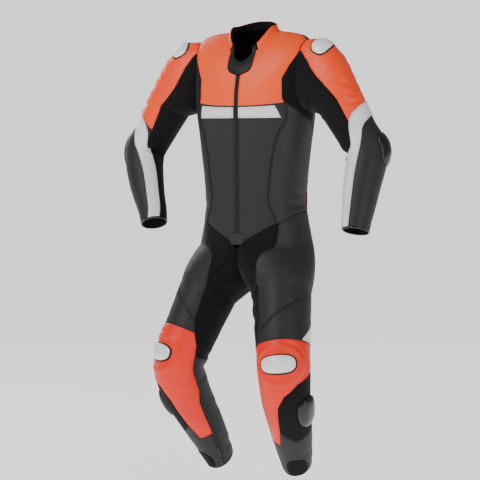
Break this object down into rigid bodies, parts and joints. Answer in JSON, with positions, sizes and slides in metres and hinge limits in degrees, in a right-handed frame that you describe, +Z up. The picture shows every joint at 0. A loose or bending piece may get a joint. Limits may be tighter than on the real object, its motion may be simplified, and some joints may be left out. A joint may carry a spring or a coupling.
{
  "type": "one-piece motorcycle race suit",
  "caption": "One-piece leather race suit in orange, black and white with stretch panels, hard knee, shoulder and elbow caps and knee sliders, filled out as worn.",
  "frame": {"origin": "between the shoulders at the height of the shoulder line, where the wearer holds the suit up", "axes": "+Z up to the collar, -Y out of the front zip, +X to the wearer's left"},
  "size_m": [0.9821, 0.3864, 1.4727],
  "materials": {
    "orange_leather": "satin",
    "black_leather": "satin",
    "white_leather": "satin",
    "black_stretch": "matt knit",
    "white_armour": "gloss",
    "black_armour": "gloss",
    "black_trim": "matt",
    "zip_tape": "matt",
    "red_label": "matt"
  },
  "bodies": {
    "root": {"yoke_front_left": "orange_leather", "yoke_front_right": "orange_leather", "collar": "orange_leather", "sleeve_outer_left": "orange_leather", "sleeve_outer_right": "orange_leather", "knee_left": "orange_leather", "knee_right": "orange_leather", "shin_left": "orange_leather", "shin_right": "orange_leather", "front_left": "black_leather", "front_right": "black_leather", "side_left": "black_leather", "side_right": "black_leather", "back_main": "black_leather", "back_yoke": "black_leather", "neck_facing": "black_leather", "zip_tab": "black_leather", "forearm_outer_left": "black_leather", "forearm_outer_right": "black_leather", "thigh_front_left": "black_leather", "thigh_front_right": "black_leather", "thigh_back_left": "black_leather", "thigh_back_right": "black_leather", "ankle_front_left": "black_leather", "ankle_front_right": "black_leather", "calf_left": "black_leather", "calf_right": "black_leather", "chest_band_left": "white_leather", "chest_band_right": "white_leather", "sleeve_stripe_left": "white_leather", "sleeve_stripe_right": "white_leather", "knee_wedge_left": "white_leather", "knee_wedge_right": "white_leather", "chest_stretch_left": "black_stretch", "chest_stretch_right": "black_stretch", "back_waist": "black_stretch", "neck_lining": "black_stretch", "sleeve_inner_left": "black_stretch", "sleeve_inner_right": "black_stretch", "inner_stretch_left": "black_stretch", "inner_stretch_right": "black_stretch", "slider_panel_left": "black_stretch", "slider_panel_right": "black_stretch", "ankle_insert_left": "black_stretch", "ankle_insert_right": "black_stretch", "shoulder_cup_left": "white_armour", "shoulder_cup_right": "white_armour", "knee_cup_left": "white_armour", "knee_cup_right": "white_armour", "elbow_cap_left": "black_armour", "elbow_cap_right": "black_armour", "slider_left": "black_armour", "slider_right": "black_armour", "cuff_left": "black_trim", "cuff_right": "black_trim", "front_zip": "zip_tape", "calf_zip_left": "zip_tape", "calf_zip_right": "zip_tape", "side_label": "red_label"}
  },
  "joints": []
}
